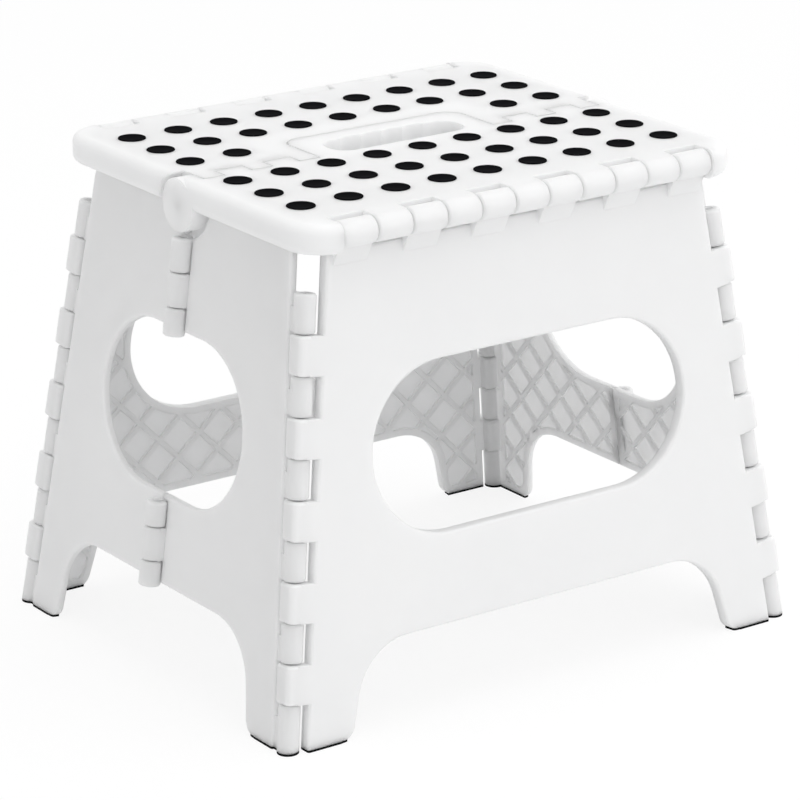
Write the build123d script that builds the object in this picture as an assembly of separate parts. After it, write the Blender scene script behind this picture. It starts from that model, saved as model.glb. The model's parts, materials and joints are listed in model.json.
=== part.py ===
from build123d import *
import math
import os

# Folding step stool. Millimetres, z up, origin on the floor under the middle of the deck.
# x runs along the long side of the deck, the front leg panel faces -y.

# Overall sizes
DECK_HEIGHT = 259.8        # floor to the deck's top face
DECK_LENGTH = 268.0        # along x
DECK_T = 15.5              # at the rim
DECK_ROUND = 5.0           # soft edges of the rim
DECK_CORNER_R = 22.0       # rounding of the deck's corners, seen from above
EDGE_HINGE_Y = 110.0       # from the middle to the hinge along each long edge
CORNER_X = 154.6           # corner hinge at the floor, from the middle along x
CORNER_Y = 124.3           # corner hinge at the floor, from the middle along y
APEX_HEIGHT = 1165.0       # all slanting hinge lines meet here, above the floor

# Walls
FACE_IN = 0.5              # inner face of every panel, from the corner hinges' plane
LEG_T = 6.5                # leg panels, with their ribs
SIDE_T = 4.0               # side panels, with their ribs
POCKET = 1.6               # depth of the pockets between the ribs inside a panel
PANEL_RIM = 4.0            # solid border around the ribbed field of a panel
PANEL_RIB = 2.8            # ribs of the diamond lattice inside a panel
PANEL_CORNER_R = 3.0       # rounding of the panels' upper corners
EDGE_R = 1.4               # soft outer edges of the panels
DECK_SKIN = 3.0
RIB_T = 2.0
LATTICE_PITCH = 18.0       # between parallel ribs of the lattice, which cross at right angles
LATTICE_MIDDLE = 77.0      # two ribs cross in the middle of a panel at this height up its slope

# Hinges
PIN_R = 2.0
PIN_CLEARANCE = 0.06       # radial, in every knuckle that turns on its pin
KNUCKLE_GAP = 0.6          # between neighbouring knuckles, along the pin
KNUCKLE_SOFT = 1.4         # soft ends of the knuckles
KNUCKLE_ROOT = 4.0         # how far a knuckle's root runs into its panel
EDGE_KNUCKLE_R = 7.0       # outer radius of the knuckles along the deck's long edges
EDGE_SPAN = 226.0          # length of the knuckle row along a long edge of the deck
EDGE_KNUCKLES = 11         # leg panel first and last, deck between
EDGE_RECESS = 1.2          # free space in the deck behind a leg panel's knuckle
NECK_T = 4.5               # neck between a leg panel and its edge knuckles
CORNER_R = 5.5             # outer radius of the sides' barrels on the corner hinges
CORNER_FIRST = 24.2        # height of the lowest corner knuckle, the foot
CORNER_PAIRS = 5           # pairs of a leg panel's and a side's knuckle above the foot
CORNER_DROP = 35.6         # the corner knuckles end this far below the deck's top face
CORNER_FREE = 7.4          # panel edges stay this far from the corner hinge line
BLOCK_OUT = 5.8            # a leg panel's block-shaped knuckle reaches this far past the hinge line
BLOCK_ROUND = 3.2          # rounding of the block's upright edges
VALLEY = 1.2               # depth of the valley between a side and its corner barrels
VALLEY_WEB = 1.5           # thin web at the upper end of a valley
VALLEY_NOTCH = 7.0         # length of that end, under the next block
SIDE_HINGE_OUT = 2.7       # side hinge line, out of the side's outer face at half height
SIDE_HINGE_R = 5.7         # outer radius of the side hinges' barrels
SIDE_UPPER_DROPS = (30.7, 48.6, 66.4, 81.4)   # ends of the upper three knuckles, below the deck's top
SIDE_LOWER = (93.5, 80.0, 62.3, 48.4)         # ends of the lower three knuckles, by height
SIDE_GAP = 0.8             # between the two halves of a side
SIDE_PLAY = 0.5            # radial, around the pins of the right side's open hinge

# Middle hinge of the deck
CENTRE_DROP = 7.0          # below the edge hinges
CENTRE_R = 9.5             # knuckles under the deck
CENTRE_ROOM = 2.9          # free space around those knuckles and the discs
CENTRE_PIN_R = 2.0
CENTRE_PLAY = 5.5          # radial, the open pivot's room in the back half's knuckles
DISC_R = 13.8              # round end bosses that show at the deck's short ends
DISC_W = 10.0
DISC_ROOM = 4.0            # between a disc and the sides below it
TAB_W = 15.6               # flush tabs of the front half
TAB_IN = 20.7              # middle of a tab, from the handle's tongue or from the disc
TAB_Y = 0.0                # the tabs end here
SEAM_Y = -9.5              # the rest of the front half ends here
SEAM_GAP = 0.7

# Handle
TONGUE_HALF = 54.0
TONGUE_Y = 27.5
TONGUE_R = 10.0
SLOT_HALF = 41.0
SLOT_Y = (-8.0, 14.5)
SLOT_R = 10.0
FINGERS = 4
FINGER_PITCH = 13.0
FINGER_R = 12.0            # radius of the finger hollows in the slot's far wall
FINGER_DEPTH = 2.0

# Grip dots and foot pads
DOT_R = 7.9
DOT_T = 0.5
DOT_PITCH = 28.0
DOT_COLUMNS = 9
DOT_ROWS = 3               # in each half
DOT_FIRST_Y = 22.0
PAD_T = 1.2

# Openings in the panels, as seen square to the panel. Drops are from the deck's height.
FRONT_TOP_DROP = 15.8                  # top edge of a leg panel, up its slope
FRONT_WINDOW_HALF = 97.0
FRONT_WINDOW_LOW = 92.5
FRONT_WINDOW_DROP = 79.3
FRONT_ARCH = (120.0, 108.0, 45.5)      # half width at the floor and at the top, height
SIDE_TOP_DROP = 14.8
SIDE_WINDOW_HALF = 65.0
SIDE_WINDOW_LOW = 96.0
SIDE_WINDOW_DROP = 77.8
SIDE_ARCH = (92.5, 84.0, 50.0)
ARCH_R = 32.0
FOOT_R = 8.0                           # rounding of the feet towards the arches
BELOW = 10.0                           # panels are drawn down past the floor and then cut level

# Derived places
EDGE_Z = DECK_HEIGHT - EDGE_KNUCKLE_R
CENTRE_Z = EDGE_Z - CENTRE_DROP
LEG_FACE = FACE_IN + LEG_T             # outer faces, from the corner hinges' planes
SIDE_FACE = FACE_IN + SIDE_T
CORNER_TOP = DECK_HEIGHT - CORNER_DROP
CORNER_PITCH = (CORNER_TOP - CORNER_FIRST) / (2 * CORNER_PAIRS)
FRONT_TOP = DECK_HEIGHT - FRONT_TOP_DROP
SIDE_TOP = DECK_HEIGHT - SIDE_TOP_DROP
FRONT_WINDOW = (FRONT_WINDOW_HALF, FRONT_WINDOW_LOW, DECK_HEIGHT - FRONT_WINDOW_DROP)
SIDE_WINDOW = (SIDE_WINDOW_HALF, SIDE_WINDOW_LOW, DECK_HEIGHT - SIDE_WINDOW_DROP)
SIDE_UPPER = tuple(DECK_HEIGHT - drop for drop in SIDE_UPPER_DROPS)
RUN_FIT = PIN_R + PIN_CLEARANCE
FRONT_LEAN = math.atan2(CORNER_Y, APEX_HEIGHT)
SIDE_LEAN = math.atan2(CORNER_X, APEX_HEIGHT)
FRONT_SLANT = math.hypot(CORNER_Y, APEX_HEIGHT)
SIDE_SLANT = math.hypot(CORNER_X, APEX_HEIGHT)
APEX = Vector(0, 0, APEX_HEIGHT)
FAR = 2 * DECK_LENGTH

# Feet of the left front corner's hinge line and of the left side's hinge line
CORNER_FOOT = Vector(-CORNER_X, -CORNER_Y, 0)
HALF_SLANT = (APEX_HEIGHT - DECK_HEIGHT / 2) / math.cos(SIDE_LEAN)
SIDE_HINGE_LEAN = SIDE_LEAN + math.atan2(SIDE_FACE + SIDE_HINGE_OUT, HALF_SLANT)
SIDE_FOOT = Vector(-APEX_HEIGHT * math.tan(SIDE_HINGE_LEAN), 0, 0)

# The planes through the corner hinges. Local x along the panel, y up the slope, z outwards.
FRONT = Plane(
    origin=(0, -CORNER_Y, 0), x_dir=(1, 0, 0),
    z_dir=(0, -math.cos(FRONT_LEAN), math.sin(FRONT_LEAN)),
)
SIDE = Plane(
    origin=(-CORNER_X, 0, 0), x_dir=(0, -1, 0),
    z_dir=(-math.cos(SIDE_LEAN), 0, math.sin(SIDE_LEAN)),
)


# Small helpers

def box(low, high):
    """A box from its lowest to its highest corner."""
    size = [h - l for l, h in zip(low, high)]
    return Pos(*low) * Box(*size, align=(Align.MIN, Align.MIN, Align.MIN))


def rect(low, high):
    """A rectangle from its lowest to its highest corner."""
    size = [h - l for l, h in zip(low, high)]
    return Pos(*low) * Rectangle(*size, align=(Align.MIN, Align.MIN))


def polygon(*points):
    return make_face(Polyline(*points, close=True).edges())


def rod(start, end, radius):
    """A round bar between two points."""
    run = end - start
    return extrude(Plane(origin=start, z_dir=run) * Circle(radius), run.length)


def bar_x(x_from, x_to, y, z, radius):
    return rod(Vector(x_from, y, z), Vector(x_to, y, z), radius)


def on_line(foot, height):
    """The point at a height on the hinge line from its foot on the floor to the apex."""
    return foot + (APEX - foot) * (height / APEX_HEIGHT)


def line_rod(foot, low, high, radius):
    return rod(on_line(foot, low), on_line(foot, high), radius)


def half_turn(body):
    return body.rotate(Axis.Z, 180)


def soften(body, axis, radius, ends):
    """Rounds the edges of the faces at the given ends of a body along an axis."""
    faces = body.faces().sort_by(axis)
    edges = ShapeList()
    for end in ends:
        edges += faces[end].edges()
    return fillet(edges, radius)


# Panels, square on

def stadium(half_width, low, high):
    return Pos(0, (low + high) / 2) * SlotOverall(2 * half_width, high - low)


def arch(half_floor, half_top, height, inset):
    """The opening between two feet: rounded above, flaring at the floor."""
    half_floor += inset
    half_top += inset
    height += inset
    slope = (half_floor - half_top) / height
    below = half_floor + slope * FAR
    shape = polygon((-below, -FAR), (below, -FAR), (half_top, height), (-half_top, height))
    shape = fillet(shape.vertices().group_by(Axis.Y)[-1], ARCH_R + inset)
    lean = math.hypot(1, slope)
    middle = half_floor + FOOT_R * (lean - slope)
    touch = (middle - FOOT_R / lean, FOOT_R * (1 - slope / lean))
    corner = polygon(touch, (middle, FOOT_R), (middle, 0), (half_floor, 0))
    corner -= Pos(middle, FOOT_R) * Circle(FOOT_R)
    corner += rect((half_floor, -FAR), (middle, 0))
    return shape + [corner, mirror(corner, Plane.YZ)]


def panel_field(half_foot, slant, top, window, opening, inset, low):
    """A leg panel or a whole side from a level upwards, shrunk by inset on every side."""
    def edge(level):
        return half_foot * (1 - level / slant) - CORNER_FREE - inset
    high = top - inset
    blank = polygon((-edge(low), low), (edge(low), low), (edge(high), high), (-edge(high), high))
    blank = fillet(blank.vertices().group_by(Axis.Y)[-1], PANEL_CORNER_R)
    hole = stadium(window[0] + inset, window[1] - inset, window[2] + inset)
    return blank - [hole, arch(*opening, inset)]


def lattice(field):
    """The pockets that are left between crossing ribs in a field."""
    count = int(FAR / LATTICE_PITCH / 2)
    ribs = []
    for i in range(-count, count + 1):
        strip = Pos(0, i * LATTICE_PITCH) * Rectangle(2 * FAR, PANEL_RIB)
        for turn in (45, -45):
            ribs.append(Pos(0, LATTICE_MIDDLE) * Rot(0, 0, turn) * strip)
    return field - ribs


def plate(plane, field, inner, outer):
    return extrude(plane.offset(inner) * field, outer - inner)


def pockets(plane, field):
    return plate(plane, lattice(field), FACE_IN - POCKET, FACE_IN + POCKET)


# Knuckles

def across(foot, low, high, x_dir):
    """The plane across a hinge line at the low end of a knuckle, and the knuckle's length."""
    start = on_line(foot, low)
    run = on_line(foot, high) - start
    line = run.normalized()
    x_dir = Vector(*x_dir)
    plane = Plane(
        origin=start + line * (KNUCKLE_GAP / 2), x_dir=x_dir - line * x_dir.dot(line), z_dir=line,
    )
    return plane, run.length - KNUCKLE_GAP


def knuckle(plane, length, profile, root):
    """A soft-ended knuckle and its root."""
    line = Axis(plane.origin, plane.z_dir)
    body = soften(extrude(plane * profile, length), line, KNUCKLE_SOFT, (0, -1))
    return body + extrude(plane * root, length)


def corner_row(first, count):
    """Copies of a corner knuckle, two places apart up the hinge line."""
    step = on_line(CORNER_FOOT, 2 * CORNER_PITCH) - CORNER_FOOT
    return [Pos(*(step * i)) * first for i in range(count)]


def leg_block():
    """Block around the corner hinge, flush with the leg panel, and the root in the panel."""
    middle = Pos((CORNER_R - BLOCK_OUT) / 2, (CORNER_R - LEG_FACE) / 2)
    block = middle * RectangleRounded(CORNER_R + BLOCK_OUT, CORNER_R + LEG_FACE, BLOCK_ROUND)
    root = rect((0, -LEG_FACE), (CORNER_FREE + KNUCKLE_ROOT, -FACE_IN))
    place = across(CORNER_FOOT, CORNER_FIRST, CORNER_FIRST + CORNER_PITCH, (1, 0, 0))
    return knuckle(*place, block, root)


def side_barrel(low, high):
    """Barrel on the corner hinge, with a valley between it and the side."""
    plane, length = across(CORNER_FOOT, low, high, (0, 1, 0))
    reach = CORNER_FREE + KNUCKLE_ROOT
    web = rect((0, FACE_IN), (reach, FACE_IN + VALLEY_WEB))
    root = rect((0, FACE_IN), (reach, SIDE_FACE - VALLEY))
    barrel = knuckle(plane, length, Circle(CORNER_R), web)
    return barrel + extrude(plane * root, length - VALLEY_NOTCH)


def middle_barrel(low, high):
    """Barrel that stands out of the side's outer face, and the root in the side."""
    root = rect((SIDE_GAP / 2, 0), (SIDE_HINGE_R, SIDE_HINGE_OUT + SIDE_T / 2))
    return knuckle(*across(SIDE_FOOT, low, high, (0, -1, 0)), Circle(SIDE_HINGE_R), root)


EDGE_PITCH = EDGE_SPAN / EDGE_KNUCKLES
EDGE_WIDTH = EDGE_PITCH - KNUCKLE_GAP
EDGE_START = (KNUCKLE_GAP - EDGE_SPAN) / 2
EDGE_BACK = -EDGE_HINGE_Y + EDGE_KNUCKLE_R + EDGE_RECESS   # the deck begins here behind the knuckles


def edge_barrel():
    """The first knuckle on the deck's front edge hinge."""
    barrel = bar_x(EDGE_START, EDGE_START + EDGE_WIDTH, -EDGE_HINGE_Y, EDGE_Z, EDGE_KNUCKLE_R)
    return soften(barrel, Axis.X, KNUCKLE_SOFT, (0, -1))


def edge_row(first, places):
    return [Pos(i * EDGE_PITCH, 0, 0) * first for i in places]


def leg_edge_barrels():
    """The leg panel's knuckles on that hinge, with their necks."""
    out = math.cos(FRONT_LEAN)
    up = math.sin(FRONT_LEAN)
    step = CORNER_Y - EDGE_HINGE_Y
    n = EDGE_Z * up - step * out
    w = EDGE_Z * out + step * up
    low = FRONT_TOP - EDGE_KNUCKLE_R
    neck = polygon(
        (LEG_FACE - NECK_T, low), (LEG_FACE, low), (n, w - EDGE_KNUCKLE_R), (n, w),
        (n - NECK_T, w), (LEG_FACE - NECK_T / 2, FRONT_TOP),
    )
    side_on = Plane(
        origin=(EDGE_START + EDGE_WIDTH, -CORNER_Y, 0), x_dir=FRONT.z_dir, z_dir=(-1, 0, 0),
    )
    first = edge_barrel() + extrude(side_on * neck, EDGE_WIDTH)
    return edge_row(first, range(0, EDGE_KNUCKLES, 2))


def deck_edge_barrels():
    """The deck's knuckles on the same hinge, flush with its top face."""
    low = (EDGE_START, -EDGE_HINGE_Y, EDGE_Z - EDGE_KNUCKLE_R / 2)
    high = (EDGE_START + EDGE_WIDTH, EDGE_BACK + RIB_T, DECK_HEIGHT)
    return edge_row(edge_barrel() + box(low, high), range(1, EDGE_KNUCKLES, 2))


# Leg panels and sides

def split_feet(body):
    """Cuts the feet level and gives the body and a pad for each foot."""
    body -= box((-FAR, -FAR, -FAR), (FAR, FAR, PAD_T))
    soles = body.faces().group_by(Axis.Z)[0].sort_by(Axis.X)
    return body, [extrude(sole, PAD_T, dir=(0, 0, -1)) for sole in soles]


def leg_panel():
    """The front leg panel and the pads under its feet."""
    def field(inset, low):
        return panel_field(
            CORNER_X, FRONT_SLANT, FRONT_TOP, FRONT_WINDOW, FRONT_ARCH, inset, low)
    body = plate(FRONT, field(0, -BELOW), FACE_IN, LEG_FACE)
    body = soften(body, Axis(FRONT.origin, FRONT.z_dir), EDGE_R, (-1,))
    blocks = corner_row(leg_block(), CORNER_PAIRS)
    body += blocks + [mirror(block, Plane.YZ) for block in blocks] + leg_edge_barrels()
    bore = line_rod(CORNER_FOOT, 0, CORNER_TOP, RUN_FIT)
    body -= [bore, mirror(bore, Plane.YZ), edge_bore()]
    body, feet = split_feet(body)
    return body - pockets(FRONT, field(PANEL_RIM, PAD_T + PANEL_RIM)), feet


def side_blank():
    """The front half of the left side without its middle knuckles."""
    def field(inset, low):
        whole = panel_field(
            CORNER_Y, SIDE_SLANT, SIDE_TOP, SIDE_WINDOW, SIDE_ARCH, inset, low)
        return whole & rect((SIDE_GAP / 2 + inset, -FAR), (FAR, FAR))
    body = plate(SIDE, field(0, -BELOW), FACE_IN, SIDE_FACE)
    body -= bar_x(-FAR, 0, 0, CENTRE_Z, DISC_R + DISC_ROOM)
    body = soften(body, Axis(SIDE.origin, SIDE.z_dir), EDGE_R, (-1,))
    second = CORNER_FIRST + CORNER_PITCH
    body += corner_row(side_barrel(second, second + CORNER_PITCH), CORNER_PAIRS)
    body += side_barrel(-BELOW, CORNER_FIRST)
    body -= line_rod(CORNER_FOOT, 2 * PAD_T, CORNER_TOP + BELOW, RUN_FIT)
    return body - pockets(SIDE, field(PANEL_RIM, PAD_T + PANEL_RIM))


def middle_bores(radius):
    bores = []
    for ends in (SIDE_UPPER, SIDE_LOWER):
        bores.append(line_rod(SIDE_FOOT, ends[-1] - PIN_R, ends[0] + PIN_R, radius))
    return bores


def pairs(ends):
    return list(zip(ends[1:], ends))


UPPER = pairs(SIDE_UPPER)
LOWER = pairs(SIDE_LOWER)
INNER_SPANS = [UPPER[1], LOWER[1]]
OUTER_SPANS = [UPPER[0], UPPER[2], LOWER[0], LOWER[2]]


def side_half(blank, own, others):
    """A blank with its own middle knuckles, and hollows for those of the other half."""
    grow = KNUCKLE_GAP / 2
    hollow = SIDE_HINGE_R + KNUCKLE_GAP
    body = blank - [line_rod(SIDE_FOOT, low - grow, high + grow, hollow) for low, high in others]
    return body + [middle_barrel(low, high) for low, high in own]


# Deck

def front_plan(grow):
    """Plan of the deck's front half, grown for the recess that the back half leaves for it."""
    plan = rect((-FAR, -FAR), (FAR, SEAM_Y + grow))
    tongue = rect((-TONGUE_HALF - grow, 2 * SEAM_Y), (TONGUE_HALF + grow, TONGUE_Y + grow))
    more = [fillet(tongue.vertices().group_by(Axis.Y)[-1], TONGUE_R + grow)]
    for low, high in TABS + [(DISC_SPAN[0], FAR)]:
        tab = rect((low - grow, 2 * SEAM_Y), (high + grow, TAB_Y + grow))
        more += [tab, mirror(tab, Plane.YZ)]
    return plan + more


def handle_slot():
    """Slot for the hand, with hollows for the fingers in its far wall."""
    low, high = SLOT_Y
    middle = (low + high) / 2
    slot = Pos(0, middle) * RectangleRounded(2 * SLOT_HALF, high - low, SLOT_R)
    hollow = Pos(0, high + FINGER_DEPTH - FINGER_R) * Circle(FINGER_R)
    hollow &= rect((-FINGER_PITCH / 2, middle), (FINGER_PITCH / 2, FAR))
    return slot + [Pos((i - (FINGERS - 1) / 2) * FINGER_PITCH, 0) * hollow for i in range(FINGERS)]


def deck_blank():
    depth = 2 * (EDGE_HINGE_Y + EDGE_KNUCKLE_R)
    base = Pos(0, 0, DECK_HEIGHT - DECK_T) * RectangleRounded(DECK_LENGTH, depth, DECK_CORNER_R)
    return soften(extrude(base, DECK_T), Axis.Z, DECK_ROUND, (0, -1))


def deck_prism(plan):
    return extrude(Pos(0, 0, DECK_HEIGHT - DECK_T - 1) * plan, DECK_T + 2)


# The x ranges of the middle knuckles on the right: front tabs, the disc, back fingers
DISC_SPAN = (DECK_LENGTH / 2 - DISC_W, DECK_LENGTH / 2)
TAB_X = (TONGUE_HALF + TAB_IN, DISC_SPAN[0] - TAB_IN)
TABS = [(x - TAB_W / 2, x + TAB_W / 2) for x in TAB_X]
FINGER_FROM = [TONGUE_HALF] + [tab[1] for tab in TABS]
FINGER_TO = [tab[0] for tab in TABS] + [DISC_SPAN[0]]
FINGER_SPANS = [(a + SEAM_GAP, b - SEAM_GAP) for a, b in zip(FINGER_FROM, FINGER_TO)]


def centre_bars(spans, radius, wider=0.0):
    """Round bars on the deck's middle hinge over x ranges, on both sides."""
    bars = []
    for low, high in spans:
        bar = bar_x(low - wider, high + wider, 0, CENTRE_Z, radius)
        bars += [bar, mirror(bar, Plane.YZ)]
    return bars


def columns():
    return [(i - (DOT_COLUMNS - 1) / 2) * DOT_PITCH for i in range(DOT_COLUMNS)]


def deck_pockets(free_half):
    """Open cells under the back half. The last row has none nearer to the middle than free_half."""
    first = -EDGE_BACK - RIB_T
    last = CENTRE_R + CENTRE_ROOM + 2 * RIB_T
    step = (first - last) / DOT_ROWS
    cells = Sketch()
    for row in range(DOT_ROWS):
        y = first - (row + 0.5) * step
        kept = [x for x in columns() if row < DOT_ROWS - 1 or abs(x) >= free_half]
        cells += [Pos(x, y) * Rectangle(DOT_PITCH - RIB_T, step - RIB_T) for x in kept]
    low = DECK_HEIGHT - DECK_T - 1
    return extrude(Pos(0, 0, low) * cells, DECK_HEIGHT - DECK_SKIN - low)


def edge_cut():
    """Room in the front long edge of the deck for the whole knuckle row."""
    half = (EDGE_SPAN + KNUCKLE_GAP) / 2
    return box((-half, -FAR, 0), (half, EDGE_BACK, FAR))


def edge_bore():
    return bar_x(-EDGE_SPAN / 2, EDGE_SPAN / 2, -EDGE_HINGE_Y, EDGE_Z, RUN_FIT)


def deck_front():
    body = deck_blank() & deck_prism(front_plan(0) - handle_slot())
    body -= [edge_cut()] + centre_bars(FINGER_SPANS, CENTRE_R + CENTRE_ROOM, SEAM_GAP)
    body -= mirror(deck_pockets(0), Plane.XZ)
    body += deck_edge_barrels() + centre_bars(TABS, CENTRE_R) + centre_bars([DISC_SPAN], DISC_R)
    blind = DISC_SPAN[1] - DISC_W / 4
    return body - (centre_bars([(TONGUE_HALF, blind)], CENTRE_PIN_R + PIN_CLEARANCE) + [edge_bore()])


def deck_back():
    plan = rect((-FAR, -FAR), (FAR, FAR)) - front_plan(SEAM_GAP)
    body = deck_blank() & deck_prism(plan)
    cuts = centre_bars(TABS, CENTRE_R + CENTRE_ROOM, SEAM_GAP)
    cuts += centre_bars([DISC_SPAN], DISC_R + CENTRE_ROOM, SEAM_GAP)
    body -= cuts + [mirror(edge_cut(), Plane.XZ)]
    body -= deck_pockets(TONGUE_HALF + DOT_PITCH / 2)
    body += centre_bars(FINGER_SPANS, CENTRE_R) + [half_turn(barrel) for barrel in deck_edge_barrels()]
    return body - (centre_bars([(0, FAR)], CENTRE_PIN_R + CENTRE_PLAY) + [half_turn(edge_bore())])


def grip_dots(side, skip_half):
    """Discs on one half. The row beside the handle has none nearer to the middle than skip_half."""
    dots = []
    for row in range(DOT_ROWS):
        y = side * (DOT_FIRST_Y + row * DOT_PITCH)
        for x in columns():
            if row > 0 or abs(x) >= skip_half:
                dots.append(extrude(Pos(x, y, DECK_HEIGHT) * Circle(DOT_R), DOT_T))
    return Compound(children=dots)


# Pins

def edge_pin():
    reach = EDGE_SPAN / 2 - PIN_R
    return bar_x(-reach, reach, -EDGE_HINGE_Y, EDGE_Z, PIN_R)


def corner_pin():
    return line_rod(CORNER_FOOT, 2 * PAD_T + PIN_R, CORNER_TOP - PIN_R, PIN_R)


def side_pin(ends):
    return line_rod(SIDE_FOOT, ends[-1] + PIN_R, ends[0] - PIN_R, PIN_R)


def centre_pin():
    return bar_x(TONGUE_HALF + SEAM_GAP, DISC_SPAN[1] - DISC_W / 2, 0, CENTRE_Z, CENTRE_PIN_R)


def build():
    nodes = {}
    leg, feet = leg_panel()
    left_foot, right_foot = feet
    nodes["front_panel"] = leg
    nodes["front_panel_left_pad"] = left_foot
    nodes["front_panel_right_pad"] = right_foot
    nodes["back_panel"] = half_turn(leg)
    nodes["back_panel_right_pad"] = half_turn(left_foot)
    nodes["back_panel_left_pad"] = half_turn(right_foot)
    blank, (side_foot,) = split_feet(side_blank())
    inner = side_half(blank, INNER_SPANS, OUTER_SPANS) - middle_bores(RUN_FIT)
    outer = mirror(side_half(blank, OUTER_SPANS, INNER_SPANS), Plane.XZ)
    back_foot = mirror(side_foot, Plane.XZ)
    nodes["left_front_side"] = inner
    nodes["left_front_side_pad"] = side_foot
    nodes["left_back_side"] = outer - middle_bores(RUN_FIT)
    nodes["left_back_side_pad"] = back_foot
    nodes["right_back_side"] = half_turn(inner)
    nodes["right_back_side_pad"] = half_turn(side_foot)
    nodes["right_front_side"] = half_turn(outer - middle_bores(PIN_R + SIDE_PLAY))
    nodes["right_front_side_pad"] = half_turn(back_foot)
    nodes["deck_front"] = deck_front()
    nodes["deck_back"] = deck_back()
    nodes["deck_front_grip_dots"] = grip_dots(-1, 0)
    nodes["deck_back_grip_dots"] = grip_dots(1, TONGUE_HALF + DOT_R)
    nodes["front_edge_pin"] = edge_pin()
    nodes["back_edge_pin"] = half_turn(edge_pin())
    nodes["deck_pin_right"] = centre_pin()
    nodes["deck_pin_left"] = mirror(centre_pin(), Plane.YZ)
    nodes["corner_pin_left_front"] = corner_pin()
    nodes["corner_pin_right_front"] = mirror(corner_pin(), Plane.YZ)
    nodes["corner_pin_left_back"] = mirror(corner_pin(), Plane.XZ)
    nodes["corner_pin_right_back"] = half_turn(corner_pin())
    for place, ends in (("upper", SIDE_UPPER), ("lower", SIDE_LOWER)):
        nodes["left_side_pin_" + place] = side_pin(ends)
        nodes["right_side_pin_" + place] = half_turn(side_pin(ends))
    return nodes


os.makedirs("parts", exist_ok=True)
for node, body in build().items():
    export_step(body, os.path.join("parts", node + ".step"))
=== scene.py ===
import json
import math

import bpy
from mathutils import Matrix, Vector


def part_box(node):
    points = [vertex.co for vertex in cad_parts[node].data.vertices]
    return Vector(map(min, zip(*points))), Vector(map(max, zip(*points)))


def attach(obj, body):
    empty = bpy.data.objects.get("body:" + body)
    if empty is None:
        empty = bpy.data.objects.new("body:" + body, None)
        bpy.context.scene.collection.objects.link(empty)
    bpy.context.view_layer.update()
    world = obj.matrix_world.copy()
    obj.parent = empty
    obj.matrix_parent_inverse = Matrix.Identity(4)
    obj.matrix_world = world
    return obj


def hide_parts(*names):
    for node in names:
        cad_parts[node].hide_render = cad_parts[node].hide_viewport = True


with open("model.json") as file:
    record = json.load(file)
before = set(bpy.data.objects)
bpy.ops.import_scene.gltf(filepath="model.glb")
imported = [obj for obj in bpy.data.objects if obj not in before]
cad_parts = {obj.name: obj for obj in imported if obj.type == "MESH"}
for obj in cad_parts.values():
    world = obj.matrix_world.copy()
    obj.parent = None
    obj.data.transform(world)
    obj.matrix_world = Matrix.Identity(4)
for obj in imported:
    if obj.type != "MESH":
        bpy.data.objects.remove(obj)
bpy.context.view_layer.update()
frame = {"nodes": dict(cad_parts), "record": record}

# %% [markdown]
# The frame is the imported stool: two deck halves, two leg panels, four side halves, pins, dots and pads.
# Every solid already has its true size and place, so this lesson only dresses it: finishes for the
# plastic, rubber and steel, softer grip dots, a studio floor, light and a camera.
# We start by giving the imported solids a short name.

# %% What the frame holds
stool = frame["nodes"]


# %% [markdown]
# Each finish is a small node tree on one Principled shader. The trees repeat the same few steps, a noise
# that is read in Object coordinates and a ramp that turns it into a colour or a number, so these steps
# become helpers. Object coordinates stay fixed to the piece, so a grain never slides when the stool
# folds.

# %% Helpers for node trees
def new_finish(name):
    """An empty Principled material and the parts of its tree that every finish uses."""
    finish = bpy.data.materials.new(name)
    finish.use_nodes = True
    tree = finish.node_tree
    shader = next(n for n in tree.nodes if n.type == "BSDF_PRINCIPLED")
    place = tree.nodes.new("ShaderNodeTexCoord")
    return finish, tree, shader, place


def noise(tree, place, scale, detail=2.0, stretch=(1.0, 1.0, 1.0)):
    """A noise of so many waves to the metre, stretched along the axes where asked."""
    mapping = tree.nodes.new("ShaderNodeMapping")
    mapping.inputs["Scale"].default_value = stretch
    tree.links.new(place.outputs["Object"], mapping.inputs["Vector"])
    texture = tree.nodes.new("ShaderNodeTexNoise")
    texture.inputs["Scale"].default_value = scale
    texture.inputs["Detail"].default_value = detail
    tree.links.new(mapping.outputs["Vector"], texture.inputs["Vector"])
    return texture.outputs["Fac"]


def ramp(tree, value, low, high, start=0.3, stop=0.7):
    """Spreads a value between two colours."""
    node = tree.nodes.new("ShaderNodeValToRGB")
    node.color_ramp.elements[0].position = start
    node.color_ramp.elements[0].color = (*low, 1.0)
    node.color_ramp.elements[1].position = stop
    node.color_ramp.elements[1].color = (*high, 1.0)
    tree.links.new(value, node.inputs["Fac"])
    return node.outputs["Color"]


def spread(tree, value, low, high, start=0.3, stop=0.7):
    """Spreads a value between two numbers."""
    node = tree.nodes.new("ShaderNodeMapRange")
    node.inputs["From Min"].default_value = start
    node.inputs["From Max"].default_value = stop
    node.inputs["To Min"].default_value = low
    node.inputs["To Max"].default_value = high
    tree.links.new(value, node.inputs["Value"])
    return node.outputs["Result"]


def grain(tree, shader, value, strength, distance):
    """A bump from a value, with its depth in metres."""
    node = tree.nodes.new("ShaderNodeBump")
    node.inputs["Strength"].default_value = strength
    node.inputs["Distance"].default_value = distance
    tree.links.new(value, node.inputs["Height"])
    tree.links.new(node.outputs["Normal"], shader.inputs["Normal"])
    return node


print("helpers ready")


# %% [markdown]
# The stool's body is white polypropylene from a mould with a fine spark-eroded texture. Three things
# show that it is moulded plastic and not paint: a slow change of tone where the wall cooled unevenly,
# a satin gloss that varies a little, and a grain of a few tenths of a millimetre. A mould has no knife
# edges either. The solids keep theirs, so the shader rounds the light over them with a Bevel node of
# under a millimetre, which is cheaper than bevelling hundreds of edges and leaves the solids untouched.
# Thin polypropylene also lets some light through. Subsurface scattering over some millimetres, a little
# more than the thickness of a wall, keeps the inside of the stool from going grey.

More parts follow.
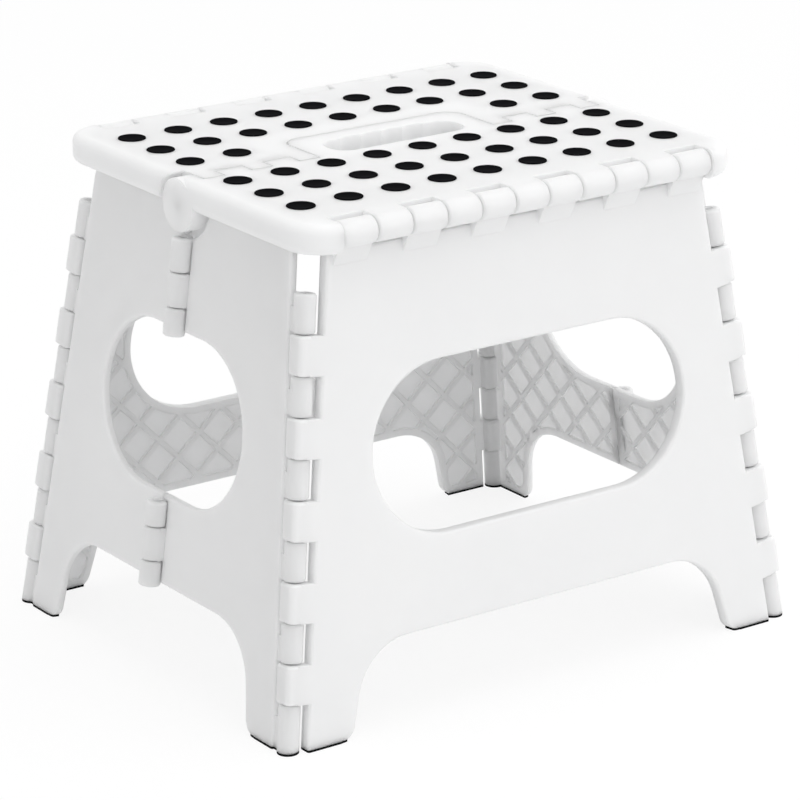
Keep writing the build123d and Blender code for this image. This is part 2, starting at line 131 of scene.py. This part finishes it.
# %% White moulded plastic
MOULD_EDGE = 0.0007
LIGHT_REACH = 0.008
PLASTIC_IOR = 1.49
DIM_WHITE = (0.893, 0.895, 0.898)
BRIGHT_WHITE = (0.918, 0.920, 0.922)


def white_plastic():
    finish, tree, shader, place = new_finish("white_moulded_plastic")
    clouds = noise(tree, place, scale=14.0, detail=3.0)
    tone = ramp(tree, clouds, DIM_WHITE, BRIGHT_WHITE)
    tree.links.new(tone, shader.inputs["Base Color"])
    patches = noise(tree, place, scale=60.0, detail=4.0)
    satin = spread(tree, patches, low=0.38, high=0.48)
    tree.links.new(satin, shader.inputs["Roughness"])
    shader.inputs["IOR"].default_value = PLASTIC_IOR
    shader.inputs["Subsurface Weight"].default_value = 1.0
    shader.inputs["Subsurface Radius"].default_value = (1.0, 1.0, 1.0)
    shader.inputs["Subsurface Scale"].default_value = LIGHT_REACH
    erosion = noise(tree, place, scale=2600.0, detail=2.0)
    bump = grain(tree, shader, erosion, strength=0.12, distance=0.0002)
    soft_edge = tree.nodes.new("ShaderNodeBevel")
    soft_edge.samples = 6
    soft_edge.inputs["Radius"].default_value = MOULD_EDGE
    tree.links.new(soft_edge.outputs["Normal"], bump.inputs["Normal"])
    return finish


plastic = white_plastic()
print("made", plastic.name)


# %% [markdown]
# The grip dots and the foot pads are black thermoplastic rubber. Rubber is matt and nearly black, with a
# pebbled skin that scatters light, so its roughness is high and its bump coarser than that of the
# plastic. In a white room even a weak mirror image turns black into grey, so the specular level is low.

# %% Black rubber for dots and pads
RUBBER_SHEEN = 0.01
DARKER = 0.7


def black_rubber(name, shade, pebbles):
    finish, tree, shader, place = new_finish(name)
    dust = noise(tree, place, scale=120.0, detail=4.0)
    dark = tuple(DARKER * c for c in shade)
    tree.links.new(ramp(tree, dust, dark, shade), shader.inputs["Base Color"])
    matt = spread(tree, dust, low=0.70, high=0.85)
    tree.links.new(matt, shader.inputs["Roughness"])
    shader.inputs["Specular IOR Level"].default_value = RUBBER_SHEEN
    skin = noise(tree, place, scale=pebbles, detail=1.0)
    grain(tree, shader, skin, strength=0.25, distance=0.0003)
    return finish


dot_rubber = black_rubber("black_dot_rubber", shade=(0.004, 0.004, 0.005), pebbles=1400.0)
pad_rubber = black_rubber("black_pad_rubber", shade=(0.012, 0.012, 0.013), pebbles=900.0)
print("made", dot_rubber.name, pad_rubber.name)


# %% [markdown]
# The hinge pins are plain drawn wire. Drawing leaves fine lines along the wire, which a noise stretched
# along the pin gives; they only show at the ends of the knuckles.

# %% Drawn steel for the pins
DARK_STEEL = (0.48, 0.48, 0.49)
PALE_STEEL = (0.66, 0.66, 0.67)


def drawn_steel():
    finish, tree, shader, place = new_finish("drawn_steel")
    lines = noise(tree, place, scale=900.0, detail=3.0, stretch=(0.05, 1.0, 1.0))
    tree.links.new(ramp(tree, lines, DARK_STEEL, PALE_STEEL), shader.inputs["Base Color"])
    tree.links.new(spread(tree, lines, low=0.28, high=0.42), shader.inputs["Roughness"])
    shader.inputs["Metallic"].default_value = 1.0
    grain(tree, shader, lines, strength=0.1, distance=0.0001)
    return finish


steel = drawn_steel()
print("made", steel.name)


# %% [markdown]
# Every solid takes the finish of its material slot. The record of the frame says which slot a node has,
# so the finishes follow it and no node is forgotten.

# %% Finishes onto the solids
finish_of_slot = {
    "white_plastic": plastic,
    "grip_rubber": dot_rubber,
    "pad_rubber": pad_rubber,
    "steel_pin": steel,
}
for subpart in frame["record"]["subparts"]:
    node = stool[subpart["node"]]
    node.data.materials.clear()
    node.data.materials.append(finish_of_slot[subpart["material_slot"]])
print("finished", len(stool), "solids")


# %% [markdown]
# The solids carry plain discs as grip dots. The picture's dots are a little narrower than these discs,
# and real ones are soft: the edge is rounded and the face inside it is a shade lower. One dot is
# modelled as by hand: a cylinder a little narrower than the disc, whose top rim is bevelled, with an
# inset face that is pushed down. The size of the disc and the places of all dots are read from the
# solids, whose columns and rows stand on a grid.

# %% The grid of the dots
DOT_PITCH = 0.028
DOT_COLUMNS = 9
DOT_SHRINK = 0.92
dots_low, dots_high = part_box("deck_front_grip_dots")
dot_radius = (dots_high.x - dots_low.x - (DOT_COLUMNS - 1) * DOT_PITCH) / 2
dot_height = dots_high.z - dots_low.z


def dot_middles(node):
    """The middles of the loose discs in a node, read off the grid cells that hold any of its corners."""
    low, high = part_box(node)
    first_x = low.x + dot_radius
    first_y = low.y + dot_radius
    cells = set()
    for vertex in stool[node].data.vertices:
        column = round((vertex.co.x - first_x) / DOT_PITCH)
        row = round((vertex.co.y - first_y) / DOT_PITCH)
        cells.add((column, row))
    return [(first_x + DOT_PITCH * c, first_y + DOT_PITCH * r, low.z) for c, r in sorted(cells)]


print("dot radius and height in mm:", round(1000 * dot_radius, 2), round(1000 * dot_height, 2))


# %% One soft grip dot
DOT_CORNERS = 48
DOT_ROUNDING = 0.55
DOT_RIM = 0.12
DOT_STEP = 0.05
DOT_SINK = 0.25
LEVEL = 0.999


def top_face_only(dot):
    """Selects the level top face of a dot, in edit mode, and none of its rounded rim."""
    bpy.ops.mesh.select_all(action="DESELECT")
    bpy.ops.object.mode_set(mode="OBJECT")
    for face in dot.data.polygons:
        face.select = face.normal.z > LEVEL
    bpy.ops.object.mode_set(mode="EDIT")


def soft_dot():
    bpy.ops.object.select_all(action="DESELECT")
    bpy.ops.mesh.primitive_cylinder_add(
        vertices=DOT_CORNERS, radius=DOT_SHRINK * dot_radius, depth=dot_height,
        location=(0.0, 0.0, dot_height / 2))
    dot = bpy.context.object
    bpy.ops.object.transform_apply(location=True, rotation=False, scale=False)
    bpy.ops.object.mode_set(mode="EDIT")
    bpy.ops.mesh.select_mode(type="FACE")
    top_face_only(dot)
    bpy.ops.mesh.bevel(offset=DOT_ROUNDING * dot_height, segments=3, affect="EDGES")
    top_face_only(dot)
    bpy.ops.mesh.inset(thickness=DOT_RIM * dot_radius, depth=0.0)
    bpy.ops.mesh.inset(thickness=DOT_STEP * dot_radius, depth=-DOT_SINK * dot_height)
    bpy.ops.object.mode_set(mode="OBJECT")
    bpy.ops.object.shade_smooth_by_angle(angle=math.radians(40))
    dot.data.materials.append(dot_rubber)
    return dot


pattern_dot = soft_dot()
print("one dot has", len(pattern_dot.data.polygons), "faces")


# %% [markdown]
# The dot is then copied to every place of the grid. Each copy gets a mesh of its own, because the copies
# of one deck half are joined into one piece that rides on that half when the stool folds.

# %% Dots in their places
def copy_of(dot, middle):
    bpy.ops.object.select_all(action="DESELECT")
    dot.select_set(True)
    bpy.context.view_layer.objects.active = dot
    bpy.ops.object.duplicate(linked=False)
    bpy.ops.transform.translate(value=middle)
    return bpy.context.object


def dots_of(node, body, name):
    dots = [copy_of(pattern_dot, middle) for middle in dot_middles(node)]
    bpy.ops.object.select_all(action="DESELECT")
    for dot in dots:
        dot.select_set(True)
    bpy.context.view_layer.objects.active = dots[0]
    bpy.ops.object.join()
    group = bpy.context.object
    group.name = name
    bpy.ops.object.transform_apply(location=True, rotation=True, scale=True)
    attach(group, body)
    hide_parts(node)
    print(name, "has", len(dots), "dots")


dots_of("deck_front_grip_dots", "front_deck", "soft_dots_front")
dots_of("deck_back_grip_dots", "back_deck", "soft_dots_back")
bpy.data.objects.remove(pattern_dot)


# %% [markdown]
# The picture shows the stool on a white studio sweep: the ground is nearly pure white and only the feet
# leave faint shadows. More light would bleach the stool, so the whiteness comes from the floor and the
# room. The eye of the camera, and mirror images, see the floor mixed with plain white; all other light
# meets an ordinary matt floor. A Light Path node tells the two apart.

# %% What the camera may see as white
def seen_directly(tree):
    """One for rays from the camera and through mirror images, nought for light on its way."""
    path = tree.nodes.new("ShaderNodeLightPath")
    value = path.outputs["Is Camera Ray"]
    for kind in ("Is Glossy Ray", "Is Transmission Ray"):
        either = tree.nodes.new("ShaderNodeMath")
        either.operation = "MAXIMUM"
        tree.links.new(value, either.inputs[0])
        tree.links.new(path.outputs[kind], either.inputs[1])
        value = either.outputs["Value"]
    return value


# %% Floor
SHADOW_KEPT = 0.18
SWEEP_WHITE = 1.02
SWEEP_SIZE = 14.0
SWEEP_DIM = (0.955, 0.955, 0.957)
SWEEP_BRIGHT = (0.965, 0.965, 0.967)


def studio_floor():
    bpy.ops.object.select_all(action="DESELECT")
    bpy.ops.mesh.primitive_plane_add(size=SWEEP_SIZE, location=(0.0, 0.0, 0.0))
    floor = bpy.context.object
    floor.name = "studio_floor"
    finish, tree, shader, place = new_finish("white_sweep")
    tone = ramp(tree, noise(tree, place, scale=3.0), SWEEP_DIM, SWEEP_BRIGHT)
    tree.links.new(tone, shader.inputs["Base Color"])
    shader.inputs["Roughness"].default_value = 0.9
    shader.inputs["Specular IOR Level"].default_value = 0.1
    white = tree.nodes.new("ShaderNodeEmission")
    white.inputs["Strength"].default_value = SWEEP_WHITE
    share = tree.nodes.new("ShaderNodeMath")
    share.operation = "MULTIPLY"
    share.inputs[1].default_value = 1.0 - SHADOW_KEPT
    tree.links.new(seen_directly(tree), share.inputs[0])
    mixed = tree.nodes.new("ShaderNodeMixShader")
    tree.links.new(share.outputs["Value"], mixed.inputs["Fac"])
    tree.links.new(shader.outputs["BSDF"], mixed.inputs[1])
    tree.links.new(white.outputs["Emission"], mixed.inputs[2])
    tree.links.new(mixed.outputs["Shader"], tree.nodes["Material Output"].inputs["Surface"])
    floor.data.materials.append(finish)


studio_floor()
print("floor keeps", SHADOW_KEPT, "of its shadows")


# %% [markdown]
# The room is white all round, but in the picture the left side of the stool is a step darker, so the
# room sends less light from the left. The direction of a ray tells how far to the right it points, and
# the strength follows that.

# %% Room
ROOM_LEFT = 0.66
ROOM_RIGHT = 0.90
world = bpy.data.worlds.new("white_room")
bpy.context.scene.world = world
world.use_nodes = True
nodes = world.node_tree.nodes
links = world.node_tree.links
room = nodes["Background"]
room.inputs["Color"].default_value = (1.0, 1.0, 1.0, 1.0)
toward = nodes.new("ShaderNodeTexCoord")
sideways = nodes.new("ShaderNodeSeparateXYZ")
links.new(toward.outputs["Generated"], sideways.inputs["Vector"])
strength = spread(world.node_tree, sideways.outputs["X"], ROOM_LEFT, ROOM_RIGHT, start=-1.0, stop=1.0)
links.new(strength, room.inputs["Strength"])
seen = nodes.new("ShaderNodeBackground")
seen.inputs["Color"].default_value = (1.0, 1.0, 1.0, 1.0)
seen.inputs["Strength"].default_value = 1.0
either = nodes.new("ShaderNodeMixShader")
links.new(seen_directly(world.node_tree), either.inputs["Fac"])
links.new(room.outputs["Background"], either.inputs[1])
links.new(seen.outputs["Background"], either.inputs[2])
links.new(either.outputs["Shader"], nodes["World Output"].inputs["Surface"])
print("room light from", ROOM_LEFT, "on the left to", ROOM_RIGHT, "on the right")


# %% [markdown]
# The light in the picture is very soft. Most of it comes from the white room itself, a little more from
# above and from the front right: the deck and the front panel are the brightest faces. Large area lamps
# give soft edges. Each stands at a given place and is aimed at the stool's middle.

# %% Soft studio lamps
def soft_lamp(name, place, size, power):
    bpy.ops.object.select_all(action="DESELECT")
    bpy.ops.object.light_add(type="AREA", location=place)
    lamp = bpy.context.object
    lamp.name = name
    lamp.data.shape = "SQUARE"
    lamp.data.size = size
    lamp.data.energy = power
    aim = Vector((0.0, 0.0, 0.15)) - lamp.location
    lamp.rotation_euler = aim.to_track_quat("-Z", "Y").to_euler()


soft_lamp("overhead_softbox", place=(0.3, -0.5, 2.2), size=2.0, power=13.0)
soft_lamp("front_softbox", place=(0.9, -2.3, 1.1), size=1.6, power=5.5)


# %% [markdown]
# The camera stands where the picture was taken: to the front left, above the deck, far away with a long
# lens, so the stool's lines hardly converge. The numbers come from fitting the deck's regular dots and
# the feet.

# %% Camera of the picture
CAMERA_PLACE = (-1.11921, -1.59561, 0.78108)
CAMERA_TURN = (71.1818, 0.2575, -35.1508)
CAMERA_LENS = 176.32
bpy.ops.object.select_all(action="DESELECT")
bpy.ops.object.camera_add(location=CAMERA_PLACE, rotation=[math.radians(a) for a in CAMERA_TURN])
camera = bpy.context.object
camera.name = "photo_camera"
camera.data.sensor_fit = "HORIZONTAL"
camera.data.sensor_width = 36.0
camera.data.lens = CAMERA_LENS
camera.data.clip_start = 0.05
camera.data.clip_end = 60.0
camera.data.dof.use_dof = False
bpy.context.scene.camera = camera
bpy.context.scene.view_settings.view_transform = "Standard"
print("camera", [round(c, 3) for c in camera.location])
